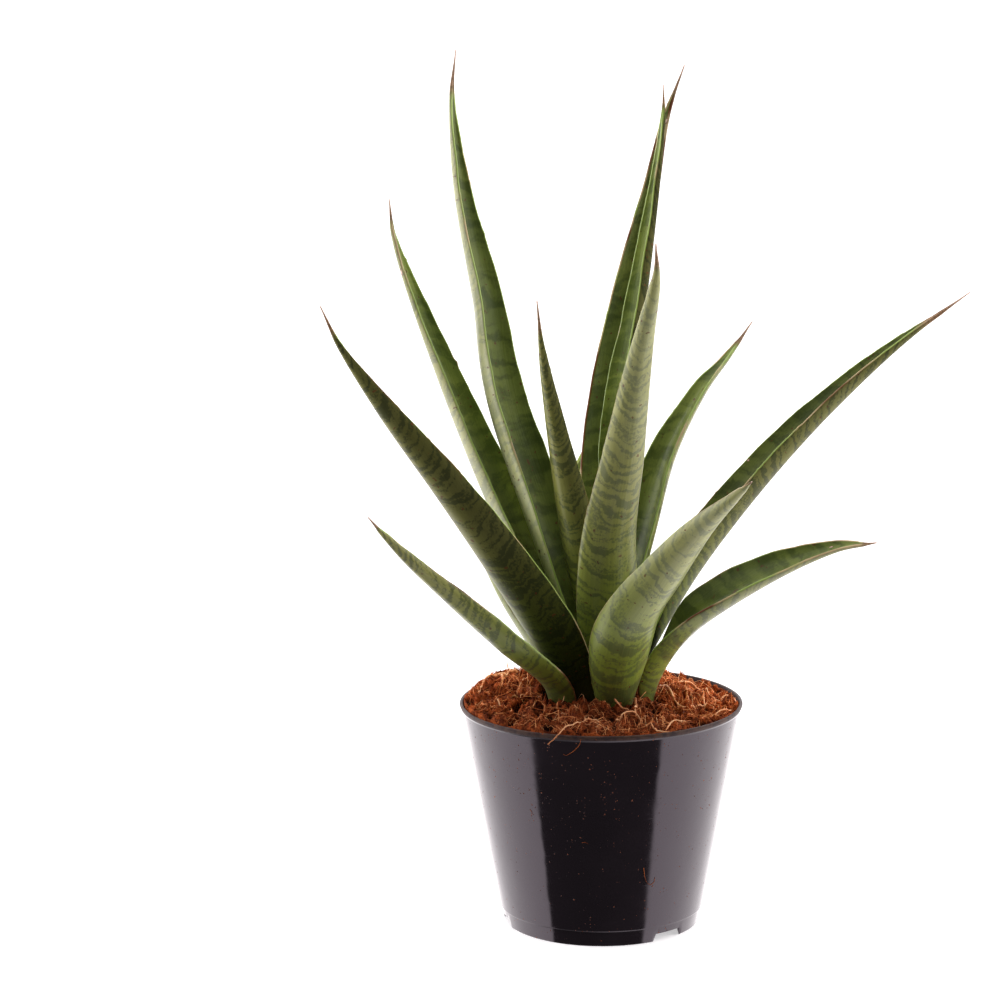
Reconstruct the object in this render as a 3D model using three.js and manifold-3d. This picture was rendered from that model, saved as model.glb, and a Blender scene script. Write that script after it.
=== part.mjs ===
// Potted pineapple snake plant: a rosette of channelled leaves in a plastic nursery pot.
// Millimetres, +Z up. The pot stands on z = 0 with its axis on the Z axis, and -Y is the front.
import * as THREE from 'three';
import { mergeVertices } from 'three/addons/utils/BufferGeometryUtils.js';
import Module from 'manifold-3d';

const wasm = await Module();
wasm.setup();

const GAP = 0.3; // clearance kept between touching pieces
const DEG = Math.PI / 180;

// Pot: a thin tapered wall, a small lip, an inset skirt with drain notches, and a raised floor
const POT_HEIGHT = 95.3;
const RIM_RADIUS = 60;
const BASE_RADIUS = 42.2;
const WALL = 1.2;
const LIP_HEIGHT = 1.8;
const LIP_OUT = 0.4;
const SKIRT_HEIGHT = 6.6;
const SKIRT_INSET = 0.7;
const FLOOR_UNDERSIDE = 3.8;
const FLOOR_THICKNESS = 1.4;
const FOOT_RADIUS = 11; // flat foot in the middle of the floor
const DRAIN_HOLES = 8;
const DRAIN_RADIUS = 3.6;
const DRAIN_RING = 29;
const NOTCHES = 3;
const NOTCH_FIRST = 312; // azimuth of the notch at the front right, degrees
const NOTCH_WIDTH = 15;
const NOTCH_HEIGHT = 3.5;
const POT_SEGMENTS = 60;

// Soil: coir heaped round the crown, higher at the back left and lower at the back right
const SOIL_EDGE = 94.6;
const SOIL_MOUND = 4.6;
const SOIL_MOUND_RADIUS = 40;
const SOIL_TILT = 1.5; // drop at the rim towards SOIL_LOW_SIDE
const SOIL_LOW_SIDE = 35;
const HEAP = { x: -36, y: 32, height: 4.2, radius: 17 };
const PITS = [
  { x: 33, y: -14, depth: 3, radius: 4.5 },
  { x: -30, y: 10, depth: 2.2, radius: 5 },
  { x: -8, y: -38, depth: 1.6, radius: 5 },
  { x: 30, y: 22, depth: 2, radius: 6 },
];
const SOIL_SEGMENTS = 44;
const SOIL_RINGS = [56, 52, 47, 42, 36, 30, 23, 15, 7];

// Crown: the short rhizome under the soil that leaves and roots grow from
const LEAF_FOOT = 84; // height of the lower end of every leaf
const CROWN_RADIUS = 29;
const CROWN_BOTTOM = 64;
const CROWN_CENTRE = { x: 1, y: -1 };
const ROOTS = 7;
const ROOT_RADIUS = 1.5;
const ROOT_TIP_RADIUS = 0.7;
const GOLDEN_ANGLE = 137.5;

// Leaf blade
const BACK_SIDES = 6; // facets across each face
const LEAF_RINGS = 18;
const RING_CROWDING = 1.35; // above 1 the rings close up towards the tip
const EDGE_THICKNESS = 0.8;
const SHOULDER_WIDTH = 3.6; // width where the blade turns into the spike
const TIP_WIDTH = 1;
const TAPER = 1.15; // 1 is straight, and more is fuller towards the tip
const THICKNESS = { foot: 4.2, middle: 3.3, tip: 1.8 };

// One entry a leaf. Facing is the azimuth that the back of the blade faces, and spine is its keel.
// Fold is the half angle of the section's arc at the foot, in the middle and at the tip, degrees.
// Foot is the width there as a share of the width at the widest place, which lies at widest.
const LEAVES = [
  {
    name: 'leaf_left_low', facing: 212, width: 26, foot: 0.55, fold: [35, 62, 75], roll: 20, spike: 12,
    spine: [
      [-19, -15, 84], [-20, -16, 104], [-40, -38, 127], [-65, -52, 154], [-80, -62, 171],
      [-93, -72, 189],
    ],
  },
  {
    name: 'leaf_left_front', facing: 222, width: 39, foot: 0.3, widest: 0.28,
    fold: [35, 60, 72], roll: 25, spike: 22,
    spine: [
      [-10, -14, 84], [-12, -15, 104], [-41, -38, 158], [-61, -52, 192], [-86, -66, 230],
      [-102, -76, 257], [-110, -80, 275],
    ],
  },
  {
    name: 'leaf_left_upper', facing: 160, width: 39, foot: 0.28, fold: [40, 68, 80], roll: -8, spike: 17,
    spine: [
      [-10, 0, 84], [-11, 0, 104], [-46, 6, 182], [-63, 8, 224], [-79, 10, 267], [-86, 11, 291],
      [-88, 11, 308],
    ],
  },
  {
    name: 'leaf_left_behind', facing: 160, width: 19, foot: 0.45, fold: [40, 55, 75], spike: 8,
    spine: [[-20, 2, 84], [-20, 2, 104], [-40, 6, 137], [-52, 9, 161], [-61, 11, 180], [-65, 12, 189]],
  },
  {
    name: 'leaf_tall_left', facing: 152, width: 36, foot: 0.28, widest: 0.42, taper: 1.35,
    fold: [45, 72, 80], spike: 23,
    spine: [
      [-4, 1, 84], [-4, 2, 104], [-42, 8, 213], [-51, 12, 265], [-59, 16, 307], [-62, 20, 345],
      [-60, 20, 369],
    ],
  },
  {
    name: 'leaf_centre_short', facing: 262, width: 19, foot: 0.3, widest: 0.5,
    fold: [40, 55, 75], spike: 24,
    spine: [[2, -7, 84], [2, -7, 104], [-14, -11, 188], [-21, -15, 227], [-24, -18, 248], [-26, -20, 269]],
  },
  {
    name: 'leaf_tall_back', facing: 82, width: 26, foot: 0.36, widest: 0.42, fold: [40, 55, 75], spike: 24,
    spine: [
      [2, 20, 84], [2, 23, 104], [4, 38, 201], [12, 46, 260], [22, 52, 307], [28, 55, 337],
      [36, 57, 360],
    ],
  },
  {
    name: 'leaf_tall_right', facing: 20, width: 27, foot: 0.3, widest: 0.5, fold: [45, 70, 80], spike: 17,
    spine: [
      [7, 1, 84], [7, 1, 104], [10, 5, 207], [17, 7, 261], [23, 9, 307], [26, 10, 340],
      [26, 10, 355],
    ],
  },
  {
    name: 'leaf_front_centre', facing: 290, width: 31, foot: 0.42, fold: [40, 65, 75], spike: 17,
    spine: [
      [5, -13, 84], [5, -14, 104], [5, -28, 162], [11, -40, 206], [17, -50, 249], [22, -58, 280],
      [22, -60, 297],
    ],
  },
  {
    name: 'leaf_right_short', facing: 45, width: 28, foot: 0.28, widest: 0.42,
    fold: [40, 62, 75], spike: 17,
    spine: [
      [4, 14, 84], [4, 15, 104], [18, 14, 162], [28, 19, 196], [42, 27, 222], [54, 35, 237],
      [65, 41, 252],
    ],
  },
  {
    name: 'leaf_right_arching', facing: 8, width: 38, foot: 0.25, widest: 0.4, taper: 1.35,
    fold: [40, 68, 80], spike: 25,
    spine: [
      [14, 3, 84], [14, 4, 104], [34, 16, 139], [60, 19, 175], [85, 22, 204], [110, 24, 229],
      [134, 26, 250], [156, 27, 266],
    ],
  },
  {
    name: 'leaf_right_low', facing: 352, width: 33, foot: 0.2, widest: 0.42, taper: 1.35,
    fold: [40, 65, 75], roll: 30, spike: 8,
    spine: [[22, -6, 84], [22, -6, 104], [38, -19, 131], [66, -28, 153], [94, -33, 167], [113, -36, 171]],
  },
  {
    name: 'leaf_front_right', facing: 287, width: 32, foot: 0.18, widest: 0.38, taper: 1.35,
    fold: [40, 62, 72], roll: -12, spike: 6,
    spine: [
      [7, -19, 84], [7, -24, 104], [12, -43, 134], [25, -52, 157], [40, -62, 180], [53, -72, 196],
      [60, -76, 204],
    ],
  },
  {
    name: 'leaf_back_low', facing: 118, width: 22, foot: 0.35, fold: [40, 55, 75], spike: 12,
    spine: [[-13, 14, 84], [-15, 17, 104], [-22, 43, 146], [-13, 61, 175], [-6, 72, 195]],
  },
];

const MATERIALS = {
  pot: { color: 0x1b1c22, roughness: 0.28, metalness: 0 },
  soil: { color: 0x6a3b22, roughness: 0.95, metalness: 0 },
  crown: { color: 0xc08a5a, roughness: 0.8, metalness: 0 },
  leaf: { color: 0x5d7244, roughness: 0.5, metalness: 0 },
};

// Solid of a three.js geometry: vertices are merged, and the faces are turned to look outwards.
function solidOf(geometry) {
  const bare = new THREE.BufferGeometry();
  bare.setAttribute('position', geometry.getAttribute('position').clone());
  if (geometry.index) bare.setIndex(geometry.index.clone());
  const merged = mergeVertices(bare, 1e-4);
  const index = merged.index.array;
  const triangles = [];
  for (let i = 0; i < index.length; i += 3) {
    const [a, b, c] = [index[i], index[i + 1], index[i + 2]];
    if (a !== b && b !== c && c !== a) triangles.push(a, b, c);
  }
  const position = merged.getAttribute('position');
  const mesh = (order) => new wasm.Mesh({
    numProp: 3,
    vertProperties: new Float32Array(position.array),
    triVerts: new Uint32Array(order),
  });
  const solid = new wasm.Manifold(mesh(triangles));
  if (solid.volume() > 0) return solid;
  return new wasm.Manifold(mesh(triangles.reverse()));
}

// Geometry of a solid, as three.js draws it
function geometryOf(solid) {
  const mesh = solid.getMesh();
  const geometry = new THREE.BufferGeometry();
  geometry.setAttribute('position', new THREE.BufferAttribute(mesh.vertProperties, mesh.numProp));
  geometry.setIndex(new THREE.BufferAttribute(mesh.triVerts, 1));
  geometry.computeVertexNormals();
  return geometry;
}

// A capped cylinder whose side is carried onto ring(s), a list of points round the section at s.
function swept(rings, sides, ringAt) {
  const geometry = new THREE.CylinderGeometry(1, 1, 1, sides, rings);
  const position = geometry.getAttribute('position');
  const made = Array.from({ length: rings + 1 }, (_, k) => ringAt(k / rings));
  for (let i = 0; i < position.count; i += 1) {
    const [x, y, z] = [position.getX(i), position.getY(i), position.getZ(i)];
    const ring = made[Math.round((0.5 - y) * rings)];
    const onAxis = Math.hypot(x, z) < 0.5;
    const turn = Math.round((Math.atan2(x, z) / (2 * Math.PI)) * sides + sides) % sides;
    const point = onAxis ? middleOf(ring) : ring[turn];
    position.setXYZ(i, point.x, point.y, point.z);
  }
  return geometry;
}

function middleOf(points) {
  const sum = points.reduce((total, point) => total.add(point), new THREE.Vector3());
  return sum.divideScalar(points.length);
}

function pathThrough(points) {
  const knots = points.map((p) => new THREE.Vector3(...p));
  const curve = new THREE.CatmullRomCurve3(knots, false, 'catmullrom', 0.5);
  curve.arcLengthDivisions = 400;
  return curve;
}

function blend(from, to, low, high, x) {
  return from + (to - from) * THREE.MathUtils.smoothstep(x, low, high);
}

// Foot, middle and tip values blended along the leaf
function along([foot, middle, tip], s) {
  return s < 0.45 ? blend(foot, middle, 0, 0.45, s) : blend(middle, tip, 0.45, 0.95, s);
}

// Width of the blade at s: it widens from the foot, tapers to the shoulder and ends in a spike.
function widthAt(leaf, s, length) {
  const blade = length - leaf.spike;
  const distance = s * length;
  const shoulder = SHOULDER_WIDTH / leaf.width;
  if (distance > blade) {
    const k = (distance - blade) / leaf.spike;
    const spike = shoulder * (0.8 * (1 - k) ** 0.8 + 0.2 * (1 - k)) + (TIP_WIDTH / leaf.width) * k;
    return leaf.width * spike;
  }
  const q = distance / blade;
  const widest = leaf.widest ?? 0.32;
  if (q < widest) return leaf.width * (leaf.foot + (1 - leaf.foot) * Math.sin((Math.PI / 2) * (q / widest)));
  return leaf.width * (1 - (1 - shoulder) * ((q - widest) / (1 - widest)) ** (leaf.taper ?? TAPER));
}

// Ring of points round the blade at s: the back from margin to margin, then the face back again.
function leafRing(leaf, curve, length, s, grow) {
  const centre = curve.getPointAt(s);
  const tangent = curve.getTangentAt(s);
  const facing = leaf.facing * DEG;
  const inward = new THREE.Vector3(-Math.cos(facing), -Math.sin(facing), 1);
  const face = inward.addScaledVector(tangent, -inward.dot(tangent)).normalize();
  face.applyAxisAngle(tangent, blend(0, (leaf.roll ?? 0) * DEG, 0.1, 0.9, s));
  const side = new THREE.Vector3().crossVectors(tangent, face);
  const width = widthAt(leaf, s, length);
  const half = along(leaf.fold, s) * DEG;
  const radius = width / (2 * half);
  const middle = Math.min(along([THICKNESS.foot, THICKNESS.middle, THICKNESS.tip], s), 0.95 * width);
  const edge = Math.min(EDGE_THICKNESS, 0.5 * width);
  const point = (u, towards) => {
    const thickness = edge + (middle - edge) * (1 - u * u) ** 0.6;
    const reach = radius - towards * (thickness / 2 + grow);
    const angle = half * u + Math.sign(u) * (Math.abs(u) === 1 ? grow / radius : 0);
    return centre.clone()
      .addScaledVector(side, reach * Math.sin(angle))
      .addScaledVector(face, radius - reach * Math.cos(angle));
  };
  const across = Array.from({ length: BACK_SIDES + 1 }, (_, i) => (2 * i) / BACK_SIDES - 1);
  const back = across.map((u) => point(u, -1));
  const front = across.map((u) => point(-u, 1));
  const ring = [...back, ...front];
  if (s === 0) ring.forEach((p) => p.setZ(LEAF_FOOT));
  return ring;
}

function leafGeometry(leaf, grow = 0, top = 1) {
  const curve = pathThrough(leaf.spine);
  const length = curve.getLength();
  const station = (t) => 1 - (1 - t) ** RING_CROWDING;
  const rings = Math.ceil(LEAF_RINGS * top);
  const ringAt = (t) => leafRing(leaf, curve, length, station((t * rings) / LEAF_RINGS), grow);
  return swept(rings, 2 * (BACK_SIDES + 1), ringAt);
}

function wallRadius(z) {
  return BASE_RADIUS + ((RIM_RADIUS - BASE_RADIUS) * z) / POT_HEIGHT;
}

function lathed(profile, segments) {
  const points = profile.map(([r, z]) => new THREE.Vector2(r, z));
  return new THREE.LatheGeometry(points, segments).rotateX(Math.PI / 2);
}

function potSolid() {
  const floorTop = FLOOR_UNDERSIDE + FLOOR_THICKNESS;
  const lipFoot = POT_HEIGHT - LIP_HEIGHT;
  const profile = [
    [0, FLOOR_THICKNESS],
    [0, 0],
    [FOOT_RADIUS, 0],
    [FOOT_RADIUS + 3, FLOOR_UNDERSIDE],
    [wallRadius(FLOOR_UNDERSIDE) - SKIRT_INSET - WALL, FLOOR_UNDERSIDE],
    [wallRadius(0) - SKIRT_INSET - WALL, 0],
    [wallRadius(0) - SKIRT_INSET, 0],
    [wallRadius(SKIRT_HEIGHT) - SKIRT_INSET, SKIRT_HEIGHT],
    [wallRadius(SKIRT_HEIGHT + 0.5), SKIRT_HEIGHT + 0.5],
    [wallRadius(lipFoot - 0.5) - LIP_OUT, lipFoot - 0.5],
    [wallRadius(lipFoot), lipFoot],
    [RIM_RADIUS, POT_HEIGHT - 0.4],
    [RIM_RADIUS - 0.4, POT_HEIGHT],
    [RIM_RADIUS - WALL - LIP_OUT + 0.2, POT_HEIGHT],
    [wallRadius(lipFoot - 0.5) - LIP_OUT - WALL, lipFoot - 0.5],
    [wallRadius(floorTop) - WALL, floorTop],
    [FOOT_RADIUS + 3, floorTop],
    [FOOT_RADIUS - 1, FLOOR_THICKNESS],
    [0, FLOOR_THICKNESS],
  ];
  let pot = solidOf(lathed(profile, POT_SEGMENTS));
  for (let i = 0; i < DRAIN_HOLES; i += 1) {
    const angle = ((i + 0.5) / DRAIN_HOLES) * 2 * Math.PI;
    const hole = new THREE.CylinderGeometry(DRAIN_RADIUS, DRAIN_RADIUS, 6, 12).rotateX(Math.PI / 2);
    hole.translate(DRAIN_RING * Math.cos(angle), DRAIN_RING * Math.sin(angle), floorTop);
    pot = pot.subtract(solidOf(hole));
  }
  for (let i = 0; i < NOTCHES; i += 1) {
    const angle = (NOTCH_FIRST + (360 * i) / NOTCHES) * DEG;
    const notch = new THREE.BoxGeometry(12, NOTCH_WIDTH, 2 * NOTCH_HEIGHT);
    notch.translate(BASE_RADIUS, 0, 0).rotateZ(angle);
    pot = pot.subtract(solidOf(notch));
  }
  return pot;
}

// Height of the soil at a place: the heap, the pits and small lumps on a gentle mound
function soilHeight(x, y) {
  const r = Math.hypot(x, y);
  const low = SOIL_LOW_SIDE * DEG;
  const tilt = (SOIL_TILT * (x * Math.cos(low) + y * Math.sin(low))) / RIM_RADIUS;
  const mound = SOIL_MOUND * Math.exp(-((r / SOIL_MOUND_RADIUS) ** 4));
  const heap = HEAP.height * Math.exp(-(((x - HEAP.x) ** 2 + (y - HEAP.y) ** 2) / HEAP.radius ** 2));
  const pits = PITS.reduce(
    (sum, p) => sum + p.depth * Math.exp(-(((x - p.x) ** 2 + (y - p.y) ** 2) / p.radius ** 2)), 0);
  const lumps = 0.7 * Math.sin(x / 4.3 + 1.2) * Math.cos(y / 3.7) + 0.4 * Math.sin(x / 2.1 - y / 2.6);
  return SOIL_EDGE + mound + heap - tilt - pits + lumps;
}

function soilSolid(cutters) {
  const bottom = FLOOR_UNDERSIDE + FLOOR_THICKNESS + GAP;
  const lipFoot = POT_HEIGHT - LIP_HEIGHT - 0.5;
  const outer = wallRadius(lipFoot) - LIP_OUT - WALL - GAP;
  const profile = [
    [0, bottom],
    [wallRadius(bottom) - WALL - 2 * GAP, bottom],
    [outer, lipFoot],
    [outer, SOIL_EDGE],
    ...SOIL_RINGS.map((r) => [r, SOIL_EDGE]),
    [0, SOIL_EDGE],
  ];
  const geometry = lathed(profile, SOIL_SEGMENTS);
  const position = geometry.getAttribute('position');
  for (let i = 0; i < position.count; i += 1) {
    if (position.getZ(i) < SOIL_EDGE - 0.01) continue;
    position.setZ(i, soilHeight(position.getX(i), position.getY(i)));
  }
  return cutters.reduce((soil, cutter) => soil.subtract(cutter), solidOf(geometry));
}

function rootGeometry(i, grow) {
  const angle = i * GOLDEN_ANGLE * DEG;
  const sweep = 0.5 + 0.1 * (i % 3);
  const at = (r, z, turn) => [
    CROWN_CENTRE.x + r * Math.cos(angle + turn),
    CROWN_CENTRE.y + r * Math.sin(angle + turn),
    z,
  ];
  const odd = i % 2;
  const lower = [at(34, 44 - 3 * odd, sweep), at(30 + 3 * odd, 16, 2 * sweep)];
  const points = [at(14, 70, 0), at(26, 62, 0.1), ...lower];
  const curve = pathThrough(points);
  const sides = 5;
  const ringAt = (s) => {
    const centre = curve.getPointAt(s);
    const tangent = curve.getTangentAt(s);
    const across = new THREE.Vector3(0, 0, 1).cross(tangent).normalize();
    const radius = ROOT_RADIUS + (ROOT_TIP_RADIUS - ROOT_RADIUS) * s + grow;
    return Array.from({ length: sides }, (_, k) => {
      const arm = across.clone().applyAxisAngle(tangent, (-2 * Math.PI * k) / sides);
      return centre.clone().addScaledVector(arm, radius);
    });
  };
  return swept(7, sides, ringAt);
}

function crownSolid(grow) {
  const top = LEAF_FOOT - GAP + grow;
  const profile = [
    [0, CROWN_BOTTOM - grow],
    [12 + grow, CROWN_BOTTOM - grow],
    [CROWN_RADIUS - 5 + grow, CROWN_BOTTOM + 6],
    [CROWN_RADIUS + grow, CROWN_BOTTOM + 14],
    [CROWN_RADIUS + grow, top],
    [0, top],
  ];
  let crown = solidOf(lathed(profile, 28).translate(CROWN_CENTRE.x, CROWN_CENTRE.y, 0));
  for (let i = 0; i < ROOTS; i += 1) crown = crown.add(solidOf(rootGeometry(i, grow * 1.3)));
  return crown;
}

const plant = new THREE.Group();

function addPiece(name, geometry, material) {
  const mesh = new THREE.Mesh(geometry, new THREE.MeshStandardMaterial(material));
  mesh.name = name;
  plant.add(mesh);
}

// Plain holes in the soil that the leaves stand in
const leafHoles = LEAVES.map((leaf) => solidOf(leafGeometry(leaf, 1.3 * GAP, 0.34)));

addPiece('pot', geometryOf(potSolid()), MATERIALS.pot);
addPiece('soil', geometryOf(soilSolid([crownSolid(GAP + 0.1), ...leafHoles])), MATERIALS.soil);
addPiece('crown_and_roots', geometryOf(crownSolid(0)), MATERIALS.crown);
LEAVES.forEach((leaf) => addPiece(leaf.name, geometryOf(solidOf(leafGeometry(leaf))), MATERIALS.leaf));

export default plant;
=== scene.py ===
# Potted pineapple snake plant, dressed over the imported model
import math
import random

import bmesh
import bpy
from mathutils import Matrix, Quaternion, Vector, noise


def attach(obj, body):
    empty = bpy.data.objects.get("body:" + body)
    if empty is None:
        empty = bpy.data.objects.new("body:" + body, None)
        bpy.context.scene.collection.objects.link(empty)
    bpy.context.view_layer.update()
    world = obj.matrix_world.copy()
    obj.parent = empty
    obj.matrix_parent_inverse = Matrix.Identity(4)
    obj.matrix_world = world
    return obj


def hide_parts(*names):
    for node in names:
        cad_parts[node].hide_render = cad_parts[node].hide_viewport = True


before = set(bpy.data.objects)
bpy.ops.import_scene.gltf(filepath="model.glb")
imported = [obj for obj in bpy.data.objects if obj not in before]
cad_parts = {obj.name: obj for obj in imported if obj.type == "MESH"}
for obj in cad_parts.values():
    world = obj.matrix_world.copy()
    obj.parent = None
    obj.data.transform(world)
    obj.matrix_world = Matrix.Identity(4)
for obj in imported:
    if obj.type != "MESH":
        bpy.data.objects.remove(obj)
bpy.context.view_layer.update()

MM = 0.001

# Pot sizes, as in the part's source, in millimetres
POT_HEIGHT = 95.3
RIM_RADIUS = 60
BASE_RADIUS = 42.2
WALL = 1.2
LIP_HEIGHT = 1.8
LIP_OUT = 0.4
SKIRT_HEIGHT = 6.6
SKIRT_INSET = 0.7
FLOOR_UNDERSIDE = 3.8
FLOOR_THICKNESS = 1.4
FOOT_RADIUS = 11
DRAIN_HOLES = 8
DRAIN_RADIUS = 3.6
DRAIN_RING = 29
NOTCHES = 3
NOTCH_FIRST = 312
NOTCH_WIDTH = 15
NOTCH_HEIGHT = 3.5

# How finely the pot is turned and its holes are cut
POT_STEPS = 240
DRAIN_SIDES = 32
DRAIN_DEPTH = 8
SOFT_ANGLE = math.radians(32)
WELD = 1e-6  # metres

# Soil relief, as in the part's source, in millimetres
SOIL_EDGE = 94.6
SOIL_MOUND = 4.6
SOIL_MOUND_RADIUS = 40
SOIL_TILT = 1.5
SOIL_LOW_SIDE = math.radians(35)
HEAP = (-36, 32, 4.2, 17)
PITS = [(33, -14, 3, 4.5), (-30, 10, 2.2, 5), (-8, -38, 1.6, 5), (30, 22, 2, 6)]

# Dressing of the soil, in millimetres
SOIL_STEPS = 480
SOIL_ROWS = 150
SOIL_FULL = 55.5  # radius where the rough surface starts to calm down towards the wall
SOIL_CALM = 58
LOOSE_REACH = 57  # radius that loose pieces are strewn over
LOOSE_LIMIT = 57.4  # radius that they stay within
LEAF_CLEARANCE = 9
CRUMB_SIZES = (0.5, 0.6, 0.7, 0.9, 1.3)
ROOT_STEP = 1.3
ROOT_STRAY = 0.16

# Leaf blades, in millimetres, degrees and shares: as in the part's source, but with finer margins and
# points, and with three tips that are about a millimetre wider
EDGE_THICKNESS = 0.6
SHOULDER_WIDTH = 3.6
TIP_WIDTH = 0.5
TAPER = 1.15
WIDEST = 0.32  # how far along the blade it is widest
THICKNESS = (4.2, 3.3, 1.8)
FOLD = (40, 55, 75)
ROUND_END = 0.8  # length over which the very point is rounded
CALM_FOOT = 14  # length at the foot without ripples
CALM_TIP = 16
RING_CROWDING = 1.35
BLADE_RINGS = 168
BLADE_SIDES = 28
DRY_SHARE = 0.7
BASE_REACH = (20, 75)

# "facing" is the way that a leaf's back looks, and "path" runs along the middle of the blade from the crown.
# "fold" is half the angle of its channel at foot, middle and tip, and "roll" turns the blade about its
# length. "spike" is the length of the end spine, and "dry" is how much of it has dried brown. "back"
# and "face" are how light the outer and inner sides are: partly each leaf's own tone, partly painted
# light and shade. "painted_foot_light" is painted shade, below 1, and painted light, above 1, on the
# lowest part, and "reach" is where that passes into the rest. "sides" is painted shade and
# light on the outer side's left and right. "wax_and_painted_light" is pale wax at foot and tip, and on the
# tall left leaf partly painted light. "rim" turns the margin from green, below 0, to tan and rust, above 0.
# "mark" is a healed mark: its side, share across, distance along and size.
LEAVES = [
    dict(name="left_low", facing=212, width=26, foot=0.55, fold=(35, 62, 75), roll=20, spike=12,
         back=0.92, painted_foot_light=1.05, path=[
        (-19, -15, 84), (-20, -16, 104), (-40, -38, 127), (-65, -52, 154), (-80, -62, 171),
        (-93, -72, 189)]),
    dict(name="left_front", facing=222, width=39, foot=0.3, widest=0.28, fold=(35, 60, 72), roll=25,
         spike=22, back=0.68, painted_foot_light=0.28, sides=(0.35, 1.15), path=[
        (-10, -14, 84), (-12, -15, 104), (-41, -38, 158), (-61, -52, 192), (-86, -66, 230),
        (-102, -76, 257), (-110, -80, 275)]),
    dict(name="left_upper", facing=160, width=39, foot=0.28, fold=(40, 68, 80), roll=-8, spike=17,
         face=1.6, wax_and_painted_light=(0.3, 0.15), rim=-0.1, mark=("outer", -0.66, 209, 0.5), path=[
        (-10, 0, 84), (-11, 0, 104), (-46, 6, 182), (-63, 8, 224), (-79, 10, 267), (-86, 11, 291),
        (-88, 11, 308)]),
    dict(name="left_behind", facing=160, width=19, foot=0.45, spike=8,
         back=0.9, wax_and_painted_light=(0.3, 0.2), path=[
        (-20, 2, 84), (-20, 2, 104), (-40, 6, 137), (-52, 9, 161), (-61, 11, 180), (-65, 12, 189)]),
    dict(name="tall_left", facing=152, width=36, foot=0.28, widest=0.42, taper=1.35, fold=(45, 72, 80),
         spike=23, dry=0.95, face=0.95, painted_foot_light=1.7, reach=(60, 170), wax_and_painted_light=(0.7, 0.35), rim=-0.1, path=[
        (-4, 1, 84), (-4, 2, 104), (-42, 8, 213), (-51, 12, 265), (-59, 16, 307), (-62, 20, 345),
        (-60, 20, 369)]),
    dict(name="centre_short", facing=262, width=19, foot=0.3, widest=0.5, spike=24,
         back=0.55, painted_foot_light=0.5, sides=(0.6, 1.9), rim=-0.08, path=[
        (2, -7, 84), (2, -7, 104), (-14, -11, 188), (-21, -15, 227), (-24, -18, 248), (-26, -20, 269)]),
    dict(name="tall_back", facing=82, width=26, foot=0.36, widest=0.42, spike=24,
         face=1.2, rim=0.08, mark=("inner", 0.75, 257, 0.4), path=[
        (2, 20, 84), (2, 23, 104), (4, 38, 201), (12, 46, 260), (22, 52, 307), (28, 55, 337),
        (36, 57, 360)]),
    dict(name="tall_right", facing=20, width=27, foot=0.3, widest=0.5, fold=(45, 70, 80), spike=17,
         back=0.26, face=1.6, rim=-0.12, path=[
        (7, 1, 84), (7, 1, 104), (10, 5, 207), (17, 7, 261), (23, 9, 307), (26, 10, 340),
        (26, 10, 355)]),
    dict(name="front_centre", facing=290, width=31, foot=0.42, taper=1.4, shoulder=5, fold=(40, 65, 75),
         spike=17, back=0.95, painted_foot_light=0.65, sides=(0.75, 1.2), wax_and_painted_light=(0, 0.3), rim=0.04, path=[
        (5, -13, 84), (5, -14, 104), (5, -28, 162), (11, -40, 206), (17, -50, 249), (22, -58, 280),
        (22, -60, 297)]),
    dict(name="right_short", facing=45, width=28, foot=0.28, widest=0.42, taper=1.25, shoulder=4.2,
         fold=(40, 62, 75), spike=17, dry=0.9, face=1.35, wax_and_painted_light=(0, 0.3), path=[
        (4, 14, 84), (4, 15, 104), (18, 14, 162), (28, 19, 196), (42, 27, 222), (54, 35, 237),
        (65, 41, 252)]),
    dict(name="right_arching", facing=8, width=38, foot=0.25, widest=0.4, taper=1.55, shoulder=4.4,
         fold=(40, 68, 80), spike=25, dry=1.2, back=0.5, painted_foot_light=0.2, face=0.75, rim=-0.03,
         mark=("inner", -0.94, 124, 0.3), path=[
        (14, 3, 84), (14, 4, 104), (34, 16, 139), (60, 19, 175), (85, 22, 204), (110, 24, 229),
        (134, 26, 250), (156, 27, 266)]),
    dict(name="right_low", facing=352, width=33, foot=0.2, widest=0.42, taper=1.35, fold=(40, 65, 75),
         roll=30, spike=8, dry=0.9, back=0.8, painted_foot_light=1.8, face=1.15, wax_and_painted_light=(0.05, 0.25), rim=0.04,
         mark=("inner", -0.24, 124, 0.35), path=[
        (22, -6, 84), (22, -6, 104), (38, -19, 131), (66, -28, 153), (94, -33, 167), (113, -36, 171)]),
    dict(name="front_right", facing=287, width=32, foot=0.18, widest=0.38, taper=1.35, fold=(40, 62, 72),
         roll=-12, spike=6, dry=0.35, back=1.1, painted_foot_light=1.35, wax_and_painted_light=(0, 0.4), rim=0.06, path=[
        (7, -19, 84), (7, -24, 104), (12, -43, 134), (25, -52, 157), (40, -62, 180), (53, -72, 196),
        (60, -76, 204)]),
    dict(name="back_low", facing=118, width=22, foot=0.35, spike=12, back=0.85, path=[
        (-13, 14, 84), (-15, 17, 104), (-22, 43, 146), (-13, 61, 175), (-6, 72, 195)]),
]


def tone(red, green, blue):
    """Linear colour of a display colour from 0 to 255."""
    def linear(level):
        level /= 255
        return level / 12.92 if level < 0.04045 else ((level + 0.055) / 1.055) ** 2.4
    return (linear(red), linear(green), linear(blue), 1.0)


def grey(level):
    return (level, level, level, 1.0)


def smooth(low, high, x):
    t = min(max((x - low) / (high - low), 0.0), 1.0)
    return t * t * (3 - 2 * t)


def blend(start, end, low, high, x):
    return start + (end - start) * smooth(low, high, x)


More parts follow.
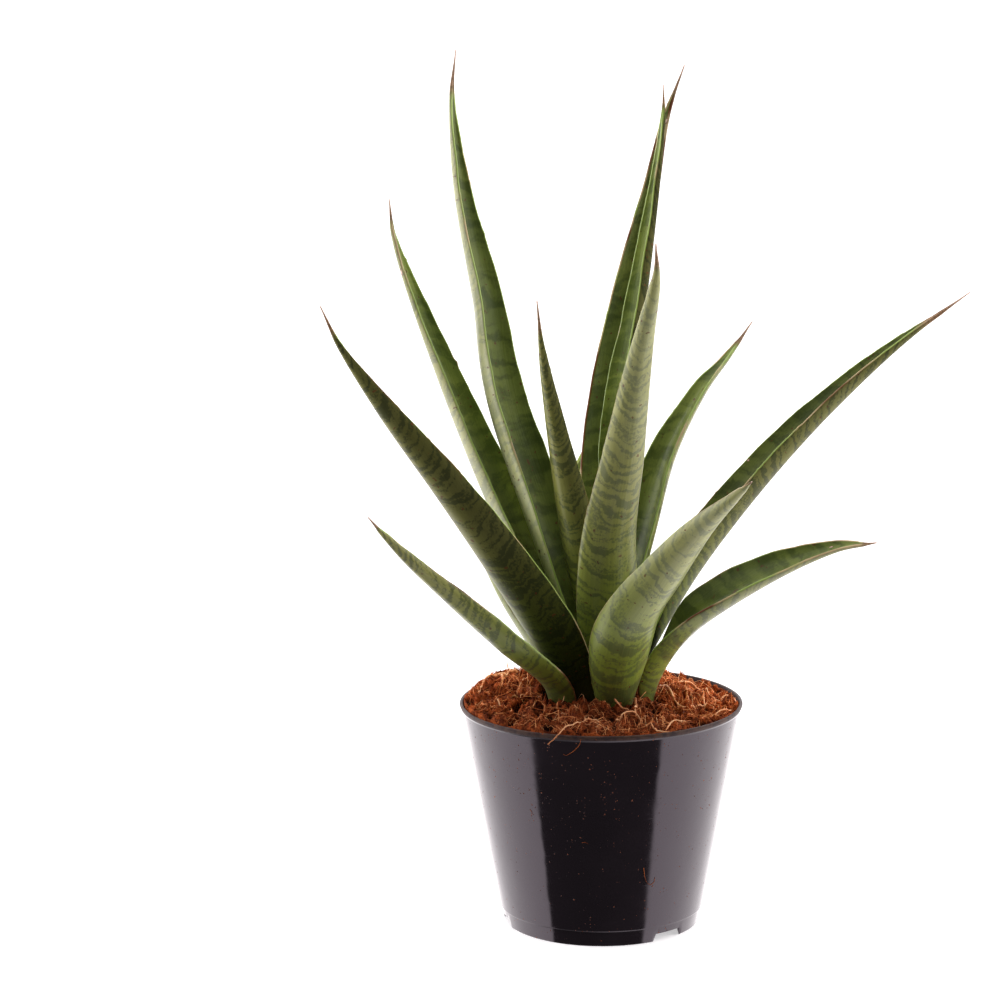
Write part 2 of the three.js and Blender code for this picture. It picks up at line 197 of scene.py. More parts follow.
# Colours of the leaves
BACK_PALE = tone(163, 164, 94)
BACK_DEEP = tone(149, 150, 78)
BACK_FOOT = tone(128, 144, 56)
BACK_BAND = tone(74, 86, 52)
FACE_PALE = tone(111, 124, 54)
FACE_DEEP = tone(92, 106, 45)
FACE_BAND = tone(46, 62, 18)
# Pale wax, also painted light on the tall left leaf's flank
WAX_TINT_AND_PAINTED_LIGHT = tone(206, 212, 172)
FRECKLE = tone(96, 52, 30)
# Painted shade for the leaves' feet at the crown
PAINTED_FOOT_SHADE = tone(52, 50, 22)
RIM_GREEN = tone(160, 184, 96)
RIM_TAN = tone(200, 180, 134)
RIM_RUST = tone(120, 66, 38)
RUSTY_SKIN = tone(104, 72, 34)
MARK_RIM = tone(112, 74, 48)
MARK_CORK = tone(222, 192, 168)
SPINE_TAN = tone(166, 132, 100)
SPINE_BROWN = tone(132, 104, 76)
SPINE_OLIVE = tone(122, 116, 70)
SPINE_POINT = tone(226, 194, 172)

# Colours of the coir and the pot
COIR_DARK = tone(86, 33, 13)
COIR_LIGHT = tone(154, 72, 31)
COIR_GRIT = tone(186, 104, 56)
COIR_GAP = tone(46, 18, 9)
# Painted shade for the soil's hollows
COIR_HOLLOW_SHADE = tone(30, 11, 6)
FIBRE_FLECK = tone(70, 36, 22)
DUST_DARK = tone(72, 38, 26)
DUST_LIGHT = tone(132, 74, 46)
POT_BLACK = tone(32, 26, 31)
POT_SMEAR = tone(41, 34, 39)
LIP_WORN = tone(74, 57, 49)


# Shader helpers
def put(tree, socket, value):
    if isinstance(value, bpy.types.NodeSocket):
        tree.links.new(value, socket)
    else:
        socket.default_value = value


def wire(tree, kind, sockets=None, **settings):
    made = tree.nodes.new(kind)
    for name, value in settings.items():
        setattr(made, name, value)
    for name, value in (sockets or {}).items():
        put(tree, made.inputs[name], value)
    return made


def calc(tree, operation, *values):
    made = wire(tree, "ShaderNodeMath", operation=operation)
    for socket, value in zip(made.inputs, values):
        put(tree, socket, value)
    return made.outputs[0]


def plus(tree, first, second):
    return calc(tree, "ADD", first, second)


def minus(tree, first, second):
    return calc(tree, "SUBTRACT", first, second)


def times(tree, first, second):
    return calc(tree, "MULTIPLY", first, second)


def times_plus(tree, first, second, third):
    return calc(tree, "MULTIPLY_ADD", first, second, third)


def mix(tree, share, first, second, mode="MIX"):
    made = wire(tree, "ShaderNodeMix", data_type="RGBA", blend_type=mode)
    put(tree, made.inputs[0], share)
    put(tree, made.inputs[6], first)
    put(tree, made.inputs[7], second)
    return made.outputs[2]


def shade(tree, share, colour, level):
    """Colour made lighter or darker by a level, as far as the share says."""
    return mix(tree, share, colour, join(tree, level, level, level), "MULTIPLY")


def ramp(tree, value, low, high, start=0.0, end=1.0):
    made = wire(tree, "ShaderNodeMapRange", {"Value": value, "From Min": low, "From Max": high,
                                             "To Min": start, "To Max": end}, interpolation_type="SMOOTHSTEP")
    return made.outputs["Result"]


def grain(tree, vector, scale, detail=2.0, roughness=0.5):
    made = wire(tree, "ShaderNodeTexNoise",
                {"Vector": vector, "Scale": scale, "Detail": detail, "Roughness": roughness})
    return made.outputs[0]


def join(tree, x, y, z):
    return wire(tree, "ShaderNodeCombineXYZ", {"X": x, "Y": y, "Z": z}).outputs[0]


def split(tree, vector):
    return wire(tree, "ShaderNodeSeparateXYZ", {"Vector": vector}).outputs


def attribute(tree, name):
    return wire(tree, "ShaderNodeAttribute", attribute_name=name).outputs["Fac"]


def object_place(tree):
    return wire(tree, "ShaderNodeTexCoord").outputs["Object"]


def new_group(name, inputs, outputs):
    tree = bpy.data.node_groups.new(name, "ShaderNodeTree")
    for way, sockets in (("INPUT", inputs), ("OUTPUT", outputs)):
        for label, kind in sockets.items():
            tree.interface.new_socket(label, in_out=way, socket_type="NodeSocket" + kind)
    return tree, tree.nodes.new("NodeGroupInput").outputs, tree.nodes.new("NodeGroupOutput").inputs


def use_group(tree, group, sockets):
    made = wire(tree, "ShaderNodeGroup", node_tree=group)
    for name, value in sockets.items():
        put(tree, made.inputs[name], value)
    return made.outputs


def new_material(name):
    material = bpy.data.materials.new(name)
    material.use_nodes = True
    tree = material.node_tree
    tree.nodes.clear()
    shader = tree.nodes.new("ShaderNodeBsdfPrincipled")
    out = tree.nodes.new("ShaderNodeOutputMaterial")
    tree.links.new(shader.outputs[0], out.inputs[0])
    return material, tree, shader.inputs


def bump(tree, height, depth, strength=1.0):
    made = wire(tree, "ShaderNodeBump", {"Height": height, "Distance": depth, "Strength": strength})
    return made.outputs[0]


# Cross bands of a blade: they sag towards the foot at the keel, and break up into specks
def make_band_group():
    inputs = ("Across", "Along", "Share", "Leaf", "Sag", "Spacing", "Stretch", "Even", "Ragged", "Cover",
              "Soft")
    tree, given, out = new_group("cross_bands", dict.fromkeys(inputs, "Float"), {"Mask": "Float"})
    place = join(tree, given["Across"], given["Along"], given["Leaf"])
    drift = minus(tree, grain(tree, place, 75.0, 2.0), 0.5)
    quiver = minus(tree, grain(tree, place, 420.0, 2.0), 0.5)
    bow = times(tree, calc(tree, "POWER", calc(tree, "ABSOLUTE", given["Share"]), 1.7), given["Sag"])
    level = minus(tree, given["Along"], bow)
    level = times_plus(tree, drift, 0.014, level)
    level = times_plus(tree, quiver, 0.0034, level)
    level = calc(tree, "DIVIDE", level, given["Spacing"])
    stretched = join(tree, times(tree, given["Across"], given["Stretch"]),
                     times(tree, level, 1.7), given["Leaf"])
    bands = grain(tree, stretched, 1.0, 2.0, 0.5)
    waves = calc(tree, "SINE", times(tree, level, 2 * math.pi))
    fleck_place = join(tree, given["Across"], times(tree, given["Along"], 0.8), given["Leaf"])
    flecks = minus(tree, grain(tree, fleck_place, 1100.0, 3.0, 0.65), 0.5)
    patches = minus(tree, grain(tree, place, 52.0, 1.0), 0.5)
    value = times_plus(tree, flecks, given["Ragged"], bands)
    value = times_plus(tree, waves, given["Even"], value)
    value = times_plus(tree, patches, 0.3, value)
    low = minus(tree, given["Cover"], given["Soft"])
    high = plus(tree, given["Cover"], given["Soft"])
    put(tree, out["Mask"], ramp(tree, value, low, high))
    return tree


# Scattered dust of coir: round specks of many sizes in loose clusters, thinned by an amount from 0 to 1
def make_dust_group():
    tree, given, out = new_group("coir_dust", {"Vector": "Vector", "Amount": "Float", "Scale": "Float"},
                                 {"Mask": "Float", "Color": "Color"})
    wobble = grain(tree, given["Vector"], times(tree, given["Scale"], 1.9), 1.0)
    cells = wire(tree, "ShaderNodeTexVoronoi", {"Vector": given["Vector"], "Scale": given["Scale"]},
                 feature="F1").outputs
    luck = split(tree, cells["Color"])
    clouds = grain(tree, given["Vector"], times(tree, given["Scale"], 0.13), 2.0, 0.6)
    amount = times(tree, given["Amount"], ramp(tree, clouds, 0.5, 0.7, 0.05, 1.1))
    lucky = calc(tree, "LESS_THAN", luck["X"], amount)
    size = times_plus(tree, calc(tree, "POWER", luck["Y"], 4.0), 0.5, 0.1)
    size = times_plus(tree, minus(tree, wobble, 0.5), 0.5, size)
    inside = calc(tree, "LESS_THAN", cells["Distance"], size)
    put(tree, out["Mask"], times(tree, lucky, inside))
    put(tree, out["Color"], mix(tree, luck["Z"], DUST_DARK, DUST_LIGHT))
    return tree


# How light the coir is painted: painted shade round the crown and in front, painted light at the back and
# right
def make_coir_shading_group():
    tree, given, out = new_group("coir_painted_light_and_shade", {"Vector": "Vector"}, {"Level": "Float"})
    flat = wire(tree, "ShaderNodeMapping", {"Vector": given["Vector"], "Scale": (1.0, 1.0, 0.0)}).outputs[0]
    from_middle = wire(tree, "ShaderNodeVectorMath", {0: flat}, operation="LENGTH").outputs["Value"]
    place = split(tree, given["Vector"])
    level = ramp(tree, from_middle, 0.022, 0.046, 0.65, 1.0)
    level = times(tree, level, ramp(tree, place["Y"], -0.05, 0.0, 0.72, 1.4))
    put(tree, out["Level"], times(tree, level, ramp(tree, place["X"], 0.0, 0.045, 1.0, 1.25)))
    return tree


BANDS = make_band_group()
DUST = make_dust_group()
COIR_PAINTED_SHADING = make_coir_shading_group()


def make_leaf_material():
    material, tree, shader = new_material("banded_leaf")
    across, along, share, leaf, margin, spike, tone_and_painted_light, wax_and_painted_light = (attribute(tree, name) for name in (
        "across_m", "along_m", "share", "leaf_number", "margin_m", "spike", "tone_and_painted_light", "wax_and_painted_light"))
    blade = wire(tree, "ShaderNodeUVMap", uv_map="blade").outputs[0]
    inner = calc(tree, "GREATER_THAN", split(tree, blade)["X"], 0.5)
    place = join(tree, across, along, leaf)
    body = {"Across": across, "Along": along, "Share": share, "Leaf": leaf}

    # Back of the blade: grey green with broken dark bands, greener towards the foot
    clouds = grain(tree, place, 30.0, 2.0)
    back = mix(tree, ramp(tree, clouds, 0.35, 0.65), BACK_PALE, BACK_DEEP)
    back = mix(tree, ramp(tree, along, 0.03, 0.12, 1.0, 0.0), back, BACK_FOOT)
    back_bands = use_group(tree, BANDS, {
        **body, "Sag": 0.007, "Spacing": 0.0046, "Stretch": 46.0, "Even": 0.085, "Ragged": 0.62,
        "Cover": 0.53, "Soft": 0.085})["Mask"]
    back = mix(tree, times(tree, back_bands, 0.66), back, BACK_BAND)

    # Face of the blade: deeper green with soft dark blotches
    face = mix(tree, ramp(tree, clouds, 0.35, 0.65), FACE_PALE, FACE_DEEP)
    face_bands = use_group(tree, BANDS, {
        **body, "Sag": -0.003, "Spacing": 0.0085, "Stretch": 55.0, "Even": 0.03, "Ragged": 0.25,
        "Cover": 0.52, "Soft": 0.13})["Mask"]
    face = mix(tree, times(tree, face_bands, 0.6), face, FACE_BAND)
    skin = mix(tree, inner, back, face)

    # Fine lengthwise grain, each leaf's tone with painted light and shade, pale wax that is partly painted
    # light, rusty freckles and painted shade on the dark foot
    drawn_out = join(tree, times(tree, across, 1500.0), times(tree, along, 45.0), leaf)
    fibres = grain(tree, drawn_out, 1.0, 2.0, 0.6)
    lines = ramp(tree, fibres, 0.3, 0.7, 0.93, 1.07)
    skin = shade(tree, 1.0, skin, lines)
    # Painted light and shade: parts of each leaf made darker and lighter over its own tone, by a reading per
    # point
    skin = shade(tree, 1.0, skin, tone_and_painted_light)
    # Pale wax at foot and tip, and on the tall left leaf partly painted light
    wax = grain(tree, join(tree, across, times(tree, along, 0.3), leaf), 120.0, 3.0)
    wax = ramp(tree, wax, 0.3, 0.6, 0.45, 1.0)
    skin = mix(tree, times(tree, wax_and_painted_light, wax), skin, WAX_TINT_AND_PAINTED_LIGHT)
    freckles = ramp(tree, grain(tree, place, 420.0, 1.0), 0.72, 0.74)
    skin = mix(tree, times(tree, freckles, 0.7), skin, FRECKLE)
    # Painted shade on the foot, where the leaves crowd at the crown
    foot = ramp(tree, along, 0.012, 0.036, 0.8, 0.0)
    skin = mix(tree, foot, skin, PAINTED_FOOT_SHADE)

    # Horny margin: mostly a pale green line, in places tan or rust
    hue = grain(tree, join(tree, share, times(tree, along, 26.0), leaf), 1.0, 2.0)
    hue = plus(tree, hue, attribute(tree, "rim"))
    rim = mix(tree, ramp(tree, hue, 0.46, 0.53), RIM_GREEN, RIM_TAN)
    rim = mix(tree, ramp(tree, hue, 0.58, 0.63), rim, RIM_RUST)
    on_margin = ramp(tree, margin, 0.00016, 0.00036, 1.0, 0.0)
    skin = mix(tree, on_margin, skin, rim)
    rust = ramp(tree, margin, 0.0004, 0.0012, 0.3, 0.0)
    skin = mix(tree, times(tree, rust, ramp(tree, hue, 0.52, 0.6)), skin, RUSTY_SKIN)

    # A healed mark: pale cork with a brown rim
    sideways, upwards = attribute(tree, "mark_across"), times(tree, attribute(tree, "mark_along"), 0.4)
    size = attribute(tree, "mark_size")
    away = plus(tree, times(tree, sideways, sideways), times(tree, upwards, upwards))
    away = calc(tree, "SQRT", away)
    away = times_plus(tree, minus(tree, grain(tree, place, 700.0, 2.0), 0.5), 0.0012, away)
    skin = mix(tree, calc(tree, "LESS_THAN", away, times(tree, size, 1.35)), skin, MARK_RIM)
    skin = mix(tree, calc(tree, "LESS_THAN", away, times(tree, size, 0.9)), skin, MARK_CORK)

    # End spine: brown where it has dried, pale at the very point
    spine = mix(tree, ramp(tree, grain(tree, place, 900.0, 2.0), 0.4, 0.6), SPINE_TAN, SPINE_BROWN)
    spine = mix(tree, ramp(tree, spike, 0.0, 0.45, 0.7, 0.0), spine, SPINE_OLIVE)
    spine = mix(tree, ramp(tree, spike, 0.5, 1.0), spine, SPINE_POINT)
    skin = mix(tree, ramp(tree, spike, 0.0, 0.3), skin, spine)

    # Coir dust that clings to the foot
    settled = ramp(tree, split(tree, object_place(tree))["Z"], 0.097, 0.118, 0.9, 0.0)
    dust = use_group(tree, DUST, {"Vector": object_place(tree), "Scale": 1100.0, "Amount": settled})
    skin = mix(tree, dust["Mask"], skin, dust["Color"])
    put(tree, shader["Base Color"], skin)

    # Satin skin that is duller where it is dark, with dents as well as the grain
    gloss = mix(tree, inner, grey(0.34), grey(0.38))
    rough = times_plus(tree, fibres, 0.16, minus(tree, gloss, 0.08))
    dull = minus(tree, 1.0, calc(tree, "MINIMUM", tone_and_painted_light, 1.0))
    rough = times_plus(tree, dull, 0.4, rough)
    put(tree, shader["Roughness"], calc(tree, "MAXIMUM", rough, times(tree, dust["Mask"], 0.9)))
    dents = grain(tree, place, 160.0, 3.0)
    relief = plus(tree, times(tree, fibres, 0.3), times(tree, dents, 0.7))
    put(tree, shader["Normal"], bump(tree, relief, 0.0004, 0.6))
    shine = calc(tree, "POWER", calc(tree, "MINIMUM", tone_and_painted_light, 1.0), 2.0)
    shine = times(tree, shine, times_plus(tree, inner, -0.45, 1.0))
    put(tree, shader["Specular IOR Level"], times(tree, shine, 0.5))
    shader["Sheen Weight"].default_value = 0.03
    shader["Sheen Roughness"].default_value = 0.4
    return material


def make_soil_material():
    material, tree, shader = new_material("coir")
    place = object_place(tree)
    lumps, grit = grain(tree, place, 230.0, 3.0), grain(tree, place, 1000.0, 3.0, 0.65)
    colour = mix(tree, ramp(tree, lumps, 0.35, 0.66), COIR_DARK, COIR_LIGHT)
    colour = mix(tree, ramp(tree, grit, 0.5, 0.72), colour, COIR_GRIT)
    colour = mix(tree, ramp(tree, grit, 0.32, 0.46, 1.0, 0.0), colour, COIR_GAP)
    # Painted shade in the hollows of the soil's relief
    low = ramp(tree, attribute(tree, "relief_m"), -0.0016, 0.0002, 0.94, 0.0)
    colour = mix(tree, low, colour, COIR_HOLLOW_SHADE)
    # Painted light and shade over the coir
    painted_coir_light = use_group(tree, COIR_PAINTED_SHADING, {"Vector": place})["Level"]
    colour = shade(tree, 1.0, colour, painted_coir_light)
    put(tree, shader["Base Color"], colour)
    shader["Roughness"].default_value = 0.95
    shader["Specular IOR Level"].default_value = 0.08
    put(tree, shader["Normal"], bump(tree, plus(tree, lumps, grit), 0.0009))
    return material


def make_fibre_material(name, dark, light, rough):
    material, tree, shader = new_material(name)
    place = object_place(tree)
    patches, flecks = grain(tree, place, 140.0, 2.0), grain(tree, place, 1500.0, 2.0)
    colour = mix(tree, ramp(tree, patches, 0.36, 0.64), dark, light)
    colour = mix(tree, ramp(tree, flecks, 0.58, 0.75, 0.0, 0.6), colour, FIBRE_FLECK)
    # The same painted light and shade as the coir, at 0.7 strength
    painted_coir_light = use_group(tree, COIR_PAINTED_SHADING, {"Vector": place})["Level"]
    colour = shade(tree, 0.7, colour, painted_coir_light)
    put(tree, shader["Base Color"], colour)
    put(tree, shader["Roughness"], times_plus(tree, flecks, 0.2, rough - 0.1))
    shader["Specular IOR Level"].default_value = 0.2
    put(tree, shader["Normal"], bump(tree, flecks, 0.0001))
    return material


def make_pot_material():
    material, tree, shader = new_material("black_pot_plastic")
    place = object_place(tree)
    height = split(tree, place)["Z"]
    smears = grain(tree, place, 22.0, 3.0, 0.6)
    squeezed = wire(tree, "ShaderNodeMapping", {"Vector": place, "Scale": (1.0, 1.0, 7.0)}).outputs[0]
    scuffs = grain(tree, squeezed, 120.0, 4.0, 0.7)
    settled = ramp(tree, height, 0.0, 0.095, 0.2, 0.4)
    dust = use_group(tree, DUST, {"Vector": place, "Scale": 1500.0, "Amount": settled})
    lip = ramp(tree, height, 0.0931, 0.0936)
    colour = mix(tree, ramp(tree, smears, 0.4, 0.7, 0.0, 0.5), POT_BLACK, POT_SMEAR)
    worn = ramp(tree, grain(tree, place, 300.0, 3.0), 0.35, 0.6, 0.3, 1.0)
    colour = mix(tree, times(tree, lip, worn), colour, LIP_WORN)
    colour = mix(tree, dust["Mask"], colour, dust["Color"])
    put(tree, shader["Base Color"], colour)
    rough = plus(tree, ramp(tree, smears, 0.35, 0.7, 0.07, 0.13),
                 ramp(tree, scuffs, 0.55, 0.75, 0.0, 0.1))
    rough = times_plus(tree, lip, 0.42, rough)
    put(tree, shader["Roughness"], calc(tree, "MAXIMUM", rough, times(tree, dust["Mask"], 0.9)))
    put(tree, shader["Specular IOR Level"], times_plus(tree, lip, -0.36, 0.5))
    shader["Specular Tint"].default_value = (1.0, 0.88, 1.0, 1.0)
    relief = plus(tree, times(tree, grain(tree, place, 60.0, 2.0), 0.8),
                  times(tree, dust["Mask"], 0.5))
    put(tree, shader["Normal"], bump(tree, relief, 0.0004, 0.5))
    return material


LEAF = make_leaf_material()
SOIL = make_soil_material()
FIBRE = make_fibre_material("coir_fibre", tone(112, 50, 20), tone(184, 98, 48), 0.75)
STRAND = make_fibre_material("coir_strand", tone(192, 102, 50), tone(246, 168, 106), 0.65)
ROOT = make_fibre_material("pale_root", tone(214, 138, 88), tone(244, 188, 138), 0.6)
RHIZOME = make_fibre_material("rhizome_skin", tone(150, 96, 58), tone(200, 150, 96), 0.7)
POT = make_pot_material()


def mesh_from(name, bm):
    mesh = bpy.data.meshes.new(name)
    bm.to_mesh(mesh)
    bm.free()
    return mesh


def add_object(name, data):
    made = bpy.data.objects.new(name, data)
    bpy.context.scene.collection.objects.link(made)
    return made


def applied_mesh(holder):
    """Mesh of an object with its modifiers or its thickness applied."""
    return bpy.data.meshes.new_from_object(holder.evaluated_get(bpy.context.evaluated_depsgraph_get()))


def smooth_faces(bm):
    for face in bm.faces:
        face.smooth = True


def finish_piece(name, bm, material, slot, *nodes):
    return place_piece(name, mesh_from(name, bm), material, slot, *nodes)


def place_piece(name, mesh, material, slot, *nodes):
    mesh.materials.clear()
    mesh.materials.append(material)
    piece = add_object(name, mesh)
    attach(piece, "root")
    if nodes:
        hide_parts(*nodes)
    return piece


# A smooth way through places: a uniform Catmull-Rom curve, read by its length
class SmoothPath:
    STEPS = 400
    NUDGE = 1e-4

    def __init__(self, knots):
        knots = [Vector(knot) for knot in knots]
        self.spans = len(knots) - 1
        self.knots = [2 * knots[0] - knots[1], *knots, 2 * knots[-1] - knots[-2]]
        points = [self.raw(i / self.STEPS) for i in range(self.STEPS + 1)]
        self.lengths = [0.0]
        for before, after in zip(points, points[1:]):
            self.lengths.append(self.lengths[-1] + (after - before).length)
        self.length = self.lengths[-1]

    def raw(self, t):
        span = min(int(t * self.spans), self.spans - 1)
        w = t * self.spans - span
        a, b, c, d = self.knots[span:span + 4]
        return 0.5 * (2 * b + (c - a) * w + (2 * a - 5 * b + 4 * c - d) * w * w
                      + (3 * b - a - 3 * c + d) * w ** 3)

    def time(self, s):
        goal = s * self.length
        low, high = 0, self.STEPS
        while high - low > 1:
            middle = (low + high) // 2
            low, high = (middle, high) if self.lengths[middle] <= goal else (low, middle)
        step = self.lengths[high] - self.lengths[low]
        return (low + (goal - self.lengths[low]) / step) / self.STEPS

    def at(self, s):
        t = self.time(s)
        ahead, behind = min(t + self.NUDGE, 1.0), max(t - self.NUDGE, 0.0)
        return self.raw(t), (self.raw(ahead) - self.raw(behind)).normalized()


def along_leaf(values, s, halfway=0.45, last=0.95):
    foot, middle, tip = values
    return blend(foot, middle, 0, halfway, s) if s < halfway else blend(middle, tip, halfway, last, s)


def blade_width(leaf, s, length):
    """Width at a share of the length: it swells from the foot, narrows, and ends in a needle."""
    blade, width = length - leaf["spike"], leaf["width"]
    shoulder, distance = leaf.get("shoulder", SHOULDER_WIDTH) / width, s * length
    if distance > blade:
        k = min((distance - blade) / leaf["spike"], 1.0)
        return width * (shoulder * (0.6 * (1 - k) ** 3 + 0.4 * (1 - k)) + TIP_WIDTH / width * k)
    q, widest = distance / blade, leaf.get("widest", WIDEST)
    if q < widest:
        return width * (leaf["foot"] + (1 - leaf["foot"]) * math.sin(math.pi / 2 * q / widest))
    return width * (1 - (1 - shoulder) * ((q - widest) / (1 - widest)) ** leaf.get("taper", TAPER))


# Places and readings of one ring of a blade
class Ring:
    def __init__(self, leaf, number, path, s):
        self.number, self.s = number, s
        self.centre, tangent = path.at(s)
        facing = math.radians(leaf["facing"])
        inward = Vector((-math.cos(facing), -math.sin(facing), 1))
        self.face = (inward - inward.dot(tangent) * tangent).normalized()
        self.face.rotate(Quaternion(tangent, blend(0, math.radians(leaf.get("roll", 0)), 0.1, 0.9, s)))
        self.side = tangent.cross(self.face)
        end = max((s - 1 + ROUND_END / path.length) / (ROUND_END / path.length), 0.0)
        self.round_end = math.sqrt(max(1 - end * end, 0.0))
        width = blade_width(leaf, s, path.length)
        self.half = math.radians(along_leaf(leaf.get("fold", FOLD), s))
        self.radius = width / (2 * self.half)
        self.middle = min(along_leaf(THICKNESS, s), 0.95 * width)
        self.edge = min(EDGE_THICKNESS, 0.5 * width)
        self.distance = s * path.length
        dried = leaf["spike"] * leaf.get("dry", DRY_SHARE)
        self.spike = max(0.0, (self.distance - path.length + dried) / dried)
        self.calm = smooth(0, CALM_FOOT, self.distance) * smooth(0, CALM_TIP, path.length - self.distance)

    def ripple(self, margin):
        """How far a margin strays sideways and towards the face, in millimetres."""
        seed = self.number * 5.7 + margin * 2.1
        wave = noise.noise(Vector((self.distance / 11, seed, 0.3)))
        small = noise.noise(Vector((self.distance / 3.4, seed, 4.9)))
        nick = max(0.0, noise.noise(Vector((self.distance / 2.6, seed, 9.4))) - 0.42)
        lean = noise.noise(Vector((self.distance / 16, seed, 13.1)))
        return self.calm * (0.30 * wave + 0.10 * small - 1.3 * nick), self.calm * 0.55 * lean

    def point(self, around):
        """Place, share across and half width of a point: the back up to 0.5, then the face up to 1."""
        back = around <= 0.5
        turn = 2 * around if back else 2 - 2 * around
        u = -math.cos(math.pi * turn)
        arc = self.half * self.radius
        bevel = min(0.5 * self.edge / arc, 0.9)
        over = max((abs(u) - 1 + bevel) / bevel, 0.0)
        thickness = (self.middle - self.edge) * (1 - u * u) ** 0.6
        thickness += self.edge * math.sqrt(max(1 - over * over, 0.0))
        thickness *= self.round_end
        swell = noise.noise(Vector((u * 2.2 + self.number, self.distance / 24, back * 3.1)))
        reach = self.radius + (1 if back else -1) * (thickness / 2 + 0.12 * swell * self.calm * (1 - u * u))
        stray, lean = self.ripple(1 if u > 0 else -1)
        angle = self.half * u * self.round_end ** 0.5 + math.copysign(stray / self.radius * abs(u) ** 5, u)
        place = (self.centre + self.side * (reach * math.sin(angle))
                 + self.face * (self.radius - reach * math.cos(angle) + lean * abs(u) ** 5))
        return place, u, arc


def make_leaf(number, leaf):
    """A grid whose rows wrap round the blade. The readings on its points drive the leaf's material."""
    path = SmoothPath(leaf["path"])
    bm = bmesh.new()
    uv = bm.loops.layers.uv.new("blade")
    names = ("across_m", "along_m", "share", "margin_m", "spike", "leaf_number", "tone_and_painted_light", "wax_and_painted_light", "rim",
             "mark_across", "mark_along", "mark_size")
    layers = {name: bm.verts.layers.float.new(name) for name in names}
    bmesh.ops.create_grid(bm, x_segments=2 * BLADE_SIDES, y_segments=BLADE_RINGS, size=1)
    rings = {}
    inner = {face: face.calc_center_median().x > 0 for face in bm.faces}
    for vert in bm.verts:
        around, step = (vert.co.x + 1) / 2, round((vert.co.y + 1) / 2 * BLADE_RINGS)
        if step not in rings:
            rings[step] = Ring(leaf, number, path, 1 - (1 - step / BLADE_RINGS) ** RING_CROWDING)
        ring = rings[step]
        place, share, arc = ring.point(around)
        vert.co = place * MM
        side, beside, up, size = leaf.get("mark", ("", 0, 0, 0))
        readings = {
            "across_m": share * arc * MM, "along_m": ring.distance * MM, "share": share,
            "margin_m": (1 - abs(share)) * arc * MM, "spike": ring.spike, "leaf_number": number * 1.37,
            "rim": leaf.get("rim", 0), "mark_across": (share - beside) * arc * MM,
            "mark_along": (ring.distance - up) * MM, "mark_size": -MM, "tone_and_painted_light": leaf.get("face", 1)}
        if side == ("inner" if around > 0.5 else "outer"):
            readings["mark_size"] = size * MM
        if around <= 0.5:
            # Outer side: the leaf's tone times painted light and shade, set apart at the foot and on the left
            # and right flanks
            outer = leaf.get("back", 1)
            light = blend(leaf.get("painted_foot_light", outer), outer, *leaf.get("reach", BASE_REACH), ring.distance)
            readings["tone_and_painted_light"] = light * blend(*leaf.get("sides", (1, 1)), -0.8, 0.8, share)
            readings["wax_and_painted_light"] = blend(*leaf.get("wax_and_painted_light", (0, 0)), 0.3, 0.9, ring.s)
        for name, reading in readings.items():
            vert[layers[name]] = reading
    smooth_faces(bm)
    for face in bm.faces:
        for loop in face.loops:
            across = loop.vert[layers["across_m"]] + (1 if inner[face] else 0)
            loop[uv].uv = (across, loop.vert[layers["along_m"]])
    bmesh.ops.remove_doubles(bm, verts=bm.verts, dist=WELD)
    bmesh.ops.holes_fill(bm, edges=[edge for edge in bm.edges if edge.is_boundary])
    bmesh.ops.recalc_face_normals(bm, faces=bm.faces)
    return finish_piece("blade_" + leaf["name"], bm, LEAF, "leaf_green", "leaf_" + leaf["name"])


def soil_form(x, y):
    """Height of the soil in the part's source, in millimetres."""
    tilt = SOIL_TILT * (x * math.cos(SOIL_LOW_SIDE) + y * math.sin(SOIL_LOW_SIDE)) / RIM_RADIUS
    mound = SOIL_MOUND * math.exp(-((math.hypot(x, y) / SOIL_MOUND_RADIUS) ** 4))
    hx, hy, heap, spread = HEAP
    heap *= math.exp(-((x - hx) ** 2 + (y - hy) ** 2) / spread ** 2)
    pits = sum(depth * math.exp(-((x - px) ** 2 + (y - py) ** 2) / size ** 2) for px, py, depth, size in PITS)
    lumps = 0.7 * math.sin(x / 4.3 + 1.2) * math.cos(y / 3.7) + 0.4 * math.sin(x / 2.1 - y / 2.6)
    return SOIL_EDGE + mound + heap - tilt - pits + lumps


def soil_relief(x, y):
    """How far the dressed soil stands over that form: clods with clefts between them, crumbs and pits."""
    place = Vector((x, y, 0))
    bend = Vector((noise.noise(place / 6), noise.noise(place / 6 + Vector((9, 2, 5))), 0))
    clods = abs(noise.noise(place / 6.4 + 0.5 * bend))
    lumps = abs(noise.noise(place / 2.7 + Vector((4, 1, 6)) + 0.4 * bend))
    grit = noise.noise(place / 1.1 + Vector((2, 9, 4)))
    pits = max(0.0, noise.noise(place / 3.4 + Vector((31, 5, 8))) - 0.22)
    pits += 1.6 * max(0.0, noise.noise(place / 6.5 + Vector((3, 17, 2))) - 0.16)
    inside = 1 - smooth(SOIL_FULL, SOIL_CALM, math.hypot(x, y))
    return 0.35 * (1 - inside) + inside * (5.5 * clods + 3.4 * lumps + 0.7 * grit - 9 * pits - 1.5)


def soil_top(x, y):
    return soil_form(x, y) + soil_relief(x, y)


def wall_radius(z):
    return BASE_RADIUS + (RIM_RADIUS - BASE_RADIUS) * z / POT_HEIGHT


